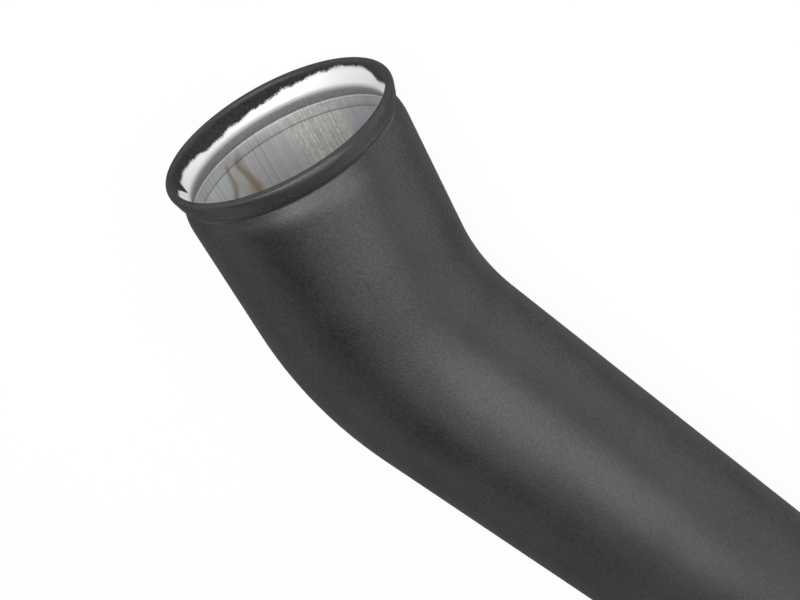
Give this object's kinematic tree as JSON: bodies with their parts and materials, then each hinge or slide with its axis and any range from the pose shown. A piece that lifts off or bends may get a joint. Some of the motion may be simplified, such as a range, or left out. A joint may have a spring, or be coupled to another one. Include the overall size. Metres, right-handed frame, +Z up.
{
  "type": "intercooler pipe",
  "caption": "Bent round metal tube with a rolled, grooved lip at each end, carrying charge air between clamped hose couplers.",
  "frame": {"origin": "centre of the long leg's mouth, in the plane of its end face", "axes": "+X along the long leg from its mouth towards the bend, the bend turns towards -Y in the XY plane, and +Z is up with the pipe lying on its side"},
  "size_m": [0.3396, 0.0904, 0.0644],
  "materials": {
    "coated_tube": "satin black powder coat outside and over the lips, bare drawn metal in the bore"
  },
  "bodies": {
    "root": {"intercooler_pipe": "coated_tube"}
  },
  "joints": []
}
